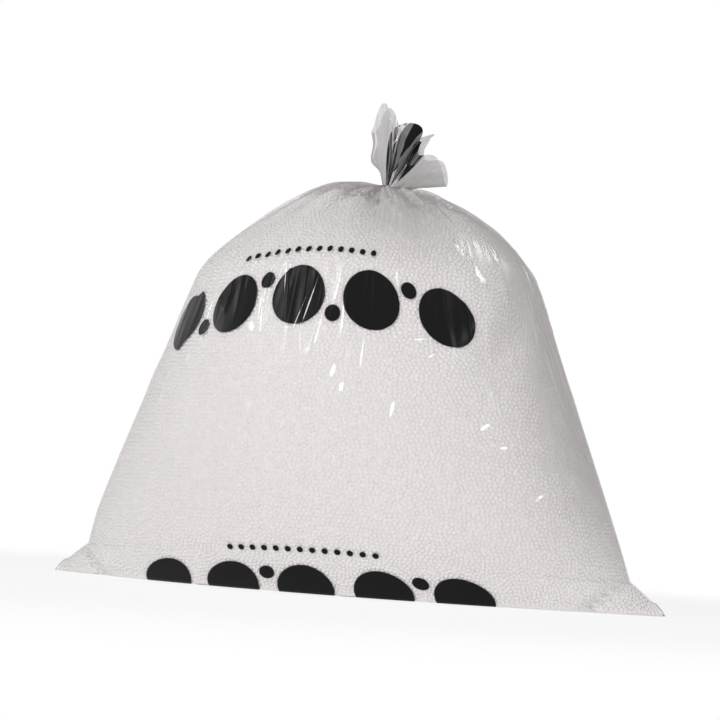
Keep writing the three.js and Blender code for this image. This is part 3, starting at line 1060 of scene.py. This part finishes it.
wobble = (film_noise(WOBBLE_STRETCH, 1.0) - 0.5) * TUCK_WOBBLE
tuck_relief = 0.0
tuck_share = 0.0
for across, along, tuck_length, tuck_width, heading, card in TUCKS:
    slope_across, slope_along = mirror_slopes(across, along, CARDS[card][0])
    turned = math.radians(heading)
    spot = film_finish.node(
        "ShaderNodeMapping",
        {"vector_type": "TEXTURE"},
        {
            "Vector": film_place,
            "Location": (across, along, 0),
            "Rotation": (0, 0, turned),
            "Scale": (tuck_length, tuck_width, 1),
        },
    )
    slope_along_tuck = (slope_across * math.cos(turned) + slope_along * math.sin(turned)) * tuck_length
    slope_over_tuck = (slope_along * math.cos(turned) - slope_across * math.sin(turned)) * tuck_width
    away = film_finish.node("ShaderNodeVectorMath", {"operation": "LENGTH"}, {0: spot}, output="Value")
    inside = ramp(film_finish, away + wobble, *TUCK_EDGE)
    rise = film_finish.node(
        "ShaderNodeVectorMath",
        {"operation": "DOT_PRODUCT"},
        {0: spot, 1: (slope_along_tuck, slope_over_tuck, 0)},
        output="Value",
    )
    tuck_relief = inside * rise + tuck_relief
    tuck_share = film_finish.maximum(inside, tuck_share)
print("tucks:", len(TUCKS))

# %% [markdown]
# ## The film's layers
# From the inside out: clear film, a milky haze where it stands off the beads, bright specks where single
# beads touch it, gloss, and the ink over all. The haze is grey, and at the rims, along the right-hand side
# and in the free end, where it is darker still, that grey is painted shade. In the crumpled free end the
# ink has cracked, so some of its folds are grey and others black.

# %% Layers of the film
EDGE_POWER = 4.0
WHITE = (1, 1, 1, 1)
CLEAR_TINT = (0.97, 0.97, 0.97, 1)
TOUCHING_WHITE = (0.9, 0.875, 0.875, 1)
INK_BLACK = (0.006, 0.006, 0.0065, 1)
FREE_START = (-0.002, 0.012)  # past the choke
MOTTLE_STRETCH = (150, 45, 1)
MOTTLE_EDGE = (0.35, 0.65)
MOTTLE = (0.72, 1.12)
SPECK_EDGE = (0.42, 0.12)  # of a cell
SPECK_KINDS = (0.35, 0.65)  # about half of the cells have a speck
CRACK_STRETCH = (75, 24, 1)
CRACK_EDGE = (0.47, 0.53)
relief = hair_line * LINE_HEIGHT + crinkle * crinkle_zone * CRINKLE_HEIGHT + tuck_relief
film_bump = film_finish.node("ShaderNodeBump", {}, {"Strength": 1.0, "Distance": 1.0, "Height": relief})
smoothness = film_finish.maximum(film_finish.maximum(looseness, hair_line), tuck_share)
facing = film_finish.node("ShaderNodeLayerWeight", {}, {"Blend": 0.5, "Normal": film_bump}, output="Facing")
edge = film_finish.maths("POWER", facing, EDGE_POWER)
clear = film_finish.node("ShaderNodeBsdfTransparent", {}, {"Color": CLEAR_TINT})
roughness = PRESSED_ROUGHNESS - smoothness * (PRESSED_ROUGHNESS - LOOSE_ROUGHNESS)
shine = film_finish.node(
    "ShaderNodeBsdfGlossy", {}, {"Color": WHITE, "Roughness": roughness, "Normal": film_bump}
)
free_share = ramp(film_finish, film_up, CHOKE_PLACE + FREE_START[0], CHOKE_PLACE + FREE_START[1])
# The body's haze: milky film, and painted shade where it greys the rims and the right-hand side.
body_haze_and_shade = film_finish.node("ShaderNodeBsdfDiffuse", {}, {"Color": HAZE_AND_SHADE_COLOUR, "Normal": film_bump})
# A darker copy of the haze for the free end, which paints its shade.
shaded_free_haze = film_finish.node("ShaderNodeBsdfDiffuse", {}, {"Color": FREE_SHADED_HAZE_COLOUR, "Normal": film_bump})
haze = film_finish.blend(free_share, body_haze_and_shade, shaded_free_haze)
mottle = ramp(film_finish, film_noise(MOTTLE_STRETCH, 2.0), *MOTTLE_EDGE, *MOTTLE)
# Along the right-hand side this haze is partly painted shade.
haze_off_and_side_shade = standing_off_and_side_shade * mottle * (CLEAR_HAZE - FILM_HAZE)
# The edge term adds haze seen edge on, and its grey is painted shade on the rims.
milky = FILM_HAZE + haze_off_and_side_shade + free_share * (FREE_HAZE - CLEAR_HAZE) + edge * EDGE_HAZE_AND_SHADE
space = film_finish.node("ShaderNodeTexCoord", output="Object")
cells = {"Vector": space, "Scale": 1 / SPECK_CELL}
speck_distance = film_finish.node("ShaderNodeTexVoronoi", {}, cells, output="Distance")
speck_kind = film_finish.node("ShaderNodeTexVoronoi", {}, cells, output="Color")
speck = ramp(film_finish, speck_distance, *SPECK_EDGE) * ramp(film_finish, speck_kind, *SPECK_KINDS)
speck = speck * (standing_off_and_side_shade - free_share) * (1 - taut_side)
touching = film_finish.node("ShaderNodeBsdfDiffuse", {}, {"Color": TOUCHING_WHITE})
specked = film_finish.blend(speck, haze, touching)
hazed = film_finish.blend(milky, clear, specked)
shine_share = FILM_SHINE + edge * EDGE_SHINE + smoothness * FOLD_SHINE
bare_film = film_finish.blend(shine_share, hazed, shine)
ink_look = {"Base Color": INK_BLACK, "Roughness": 0.25, "Specular IOR Level": 0.1, "Normal": film_bump}
black = film_finish.node("ShaderNodeBsdfPrincipled", {}, ink_look)
cracked = ramp(film_finish, film_noise(CRACK_STRETCH, 1.0), *CRACK_EDGE, *FREE_INK)
ink = ink * (1 - free_share * (1 - cracked))
printed = film_finish.blend(tuck_share * INK_SHINE, black, shine)
film_finish.end(film_finish.blend(ink, bare_film, printed))
print("film nodes:", len(film_finish.tree.nodes))

# %% [markdown]
# ## The beads' finish
# Polystyrene foam is a bright, slightly warm white. Its skin is smooth but not glossy, and no two beads
# are quite alike, so a noise as fine as the beads shifts the white a little.

# %% Beads
DULL_WHITE = (0.86, 0.830, 0.830, 1)
BRIGHT_WHITE = (0.93, 0.898, 0.898, 1)
BEAD_ROUGHNESS = 0.55
foam_pieces = [core, strays, *bead_pieces]
bead_finish = new_finish("foam beads", *foam_pieces)
spot = bead_finish.node("ShaderNodeTexCoord", output="Object")
shade = bead_finish.node("ShaderNodeTexNoise", {}, {"Vector": spot, "Scale": 1 / BEAD_PITCH, "Detail": 1.0})
whites = {0: shade, 6: DULL_WHITE, 7: BRIGHT_WHITE}
white = bead_finish.node("ShaderNodeMix", {"data_type": "RGBA"}, whites, output=2)
bead_look = {"Base Color": white, "Roughness": BEAD_ROUGHNESS}
bead_finish.end(bead_finish.node("ShaderNodeBsdfPrincipled", {}, bead_look))
print("foam on", len(foam_pieces), "pieces")

# %% [markdown]
# ## The studio
# A white floor and a white surround, with one large soft lamp at the front left and a weaker one on the
# right. Light Path lets the camera and mirrored rays see the surround as plain white while the bag is lit
# by less than that. The floor is mostly that same white to them, and the rest of it is a real surface that
# takes the bag's shadow. The small cards light nothing: they are only there to be mirrored in the film.

# %% Floor and surround
FLOOR_SIZE = 12
FLOOR_DROP = 0.0006  # below the bag's foot, so that the two faces don't fight
NEAR_WHITE = 0.85
SHADOW_REACH = (0.45, 1.1)
SURROUND_LIGHT = 0.27
FLOOR_LIGHT = 0.66
FLOOR_PAINT = (0.9, 0.9, 0.9, 1)
floor = mesh_object(
    "floor",
    [(x * FLOOR_SIZE / 2, y * FLOOR_SIZE / 2, -FLOOR_DROP) for x, y in ((-1, -1), (1, -1), (1, 1), (-1, 1))],
    [(0, 1, 2, 3)],
)
floor_finish = new_finish("floor", floor)


def seen_white(finish):
    """1 for the rays that see the white surround: straight from the camera, mirrored or through glass."""
    kinds = ("Camera", "Glossy", "Transmission")
    rays = [finish.node("ShaderNodeLightPath", output=f"Is {kind} Ray") for kind in kinds]
    return finish.maximum(finish.maximum(rays[0], rays[1]), rays[2])


ground = floor_finish.node("ShaderNodeTexCoord", output="Object")
away = floor_finish.node("ShaderNodeVectorMath", {"operation": "LENGTH"}, {0: ground}, output="Value")
far_white = ramp(floor_finish, away, *SHADOW_REACH, NEAR_WHITE - FLOOR_LIGHT, 1 - FLOOR_LIGHT)
paint = floor_finish.node("ShaderNodeBsdfDiffuse", {}, {"Color": FLOOR_PAINT})
glow = floor_finish.node("ShaderNodeEmission", {}, {"Color": WHITE, "Strength": 1.0})
white_share = FLOOR_LIGHT + seen_white(floor_finish) * far_white
floor_finish.end(floor_finish.blend(white_share, paint, glow))

world = bpy.data.worlds.new("studio")
bpy.context.scene.world = world
surround = Finish(world)
strength = SURROUND_LIGHT + seen_white(surround) * (1 - SURROUND_LIGHT)
surround.end(
    surround.node("ShaderNodeBackground", {}, {"Color": WHITE, "Strength": strength}),
    "ShaderNodeOutputWorld",
)
print("floor", FLOOR_SIZE, "m wide, surround at", SURROUND_LIGHT)


# %% Lamps
LAMP_AIM = Vector((0, 0, 0.2))
# Each lamp: its place, width, height and power in watts.
LAMPS = {
    "key": (Vector((-0.62, -2.30, 0.9)), 0.9, 1.6, 23.6),
    "fill": (Vector((2.2, -0.3, 0.7)), 0.6, 1.2, 2.4),
    "low fill": (Vector((0.55, -1.0, 0.06)), 0.6, 0.4, 2.5),
    "top": (Vector((0.0, -0.3, 2.0)), 1.2, 1.2, 4),
}


def lamp(name, place, width, height, power, only_mirrored):
    light = bpy.data.lights.new(name, "AREA")
    light.shape = "RECTANGLE"
    light.size = width
    light.size_y = height
    light.energy = power
    stand = bpy.data.objects.new(name, light)
    bpy.context.scene.collection.objects.link(stand)
    stand.location = place
    stand.rotation_euler = (LAMP_AIM - stand.location).to_track_quat("-Z", "Y").to_euler()
    stand.visible_glossy = only_mirrored
    stand.visible_diffuse = not only_mirrored
    stand.visible_camera = False
    print(name, power, "W")


for name, setting in LAMPS.items():
    lamp(name, *setting, only_mirrored=False)
for name, setting in CARDS.items():
    lamp(name, *setting, only_mirrored=True)
bpy.context.scene.cycles.transparent_max_bounces = 24
bpy.context.scene.view_settings.view_transform = "Standard"
